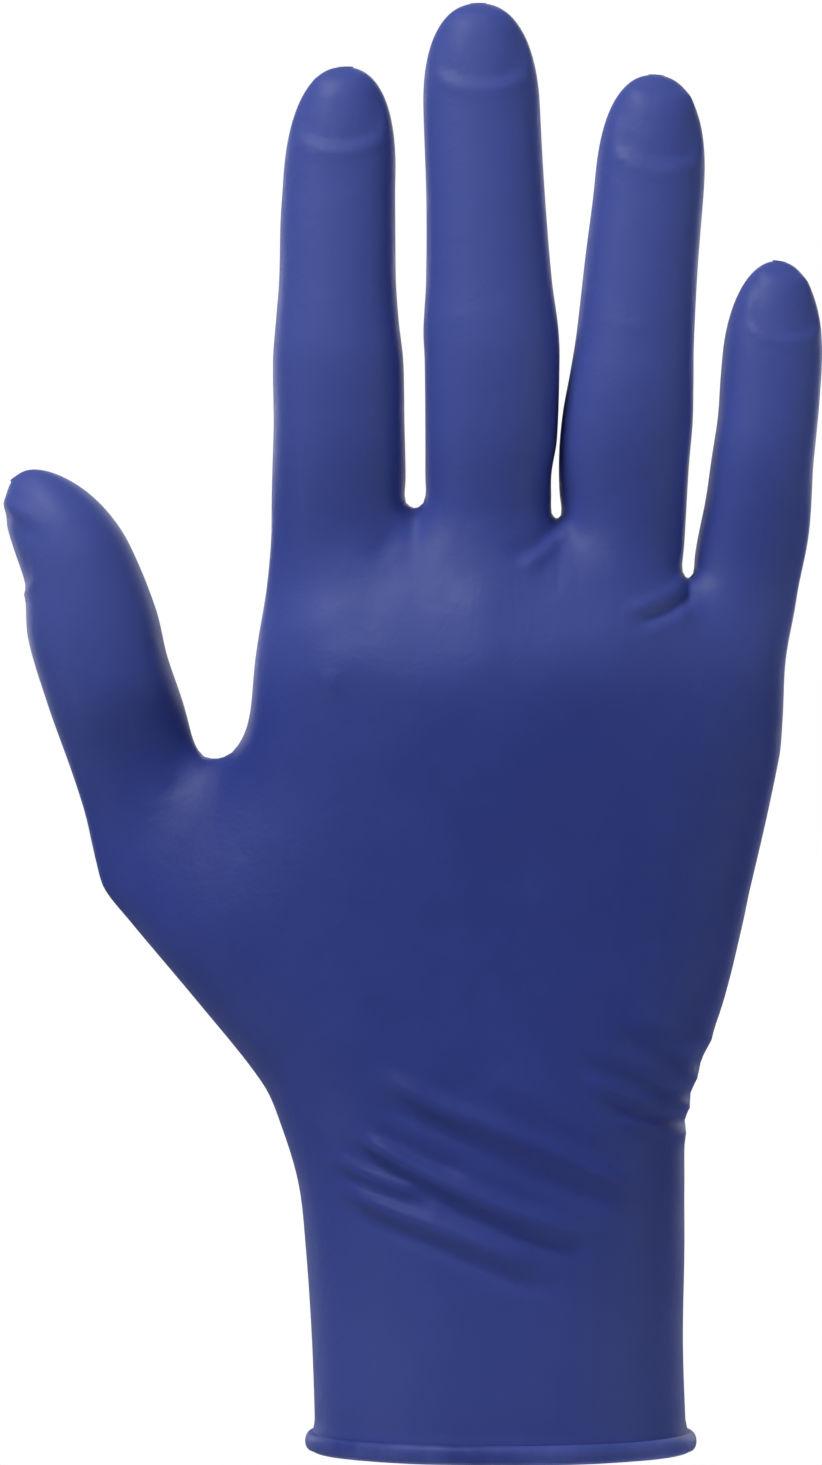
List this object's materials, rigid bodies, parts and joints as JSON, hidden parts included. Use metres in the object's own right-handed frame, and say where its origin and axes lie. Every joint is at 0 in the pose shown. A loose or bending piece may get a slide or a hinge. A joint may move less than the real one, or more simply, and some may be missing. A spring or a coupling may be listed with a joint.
{
  "type": "nitrile exam glove",
  "caption": "Thin film exam glove in the shape of a right hand, with four fingers and a thumb, folds over the wrist and an open cuff with a rolled bead",
  "frame": {"origin": "centre of the cuff's mouth, in the plane of the bead's lower edge", "axes": "+Z runs from the cuff to the fingertips, the back of the hand faces -Y, the palm faces +Y and the thumb lies towards -X"},
  "size_m": [0.1359, 0.0472, 0.24],
  "materials": {
    "nitrile_film": "satin violet-blue nitrile film with a soft sheen"
  },
  "bodies": {
    "root": {"glove": "nitrile_film"}
  },
  "joints": []
}
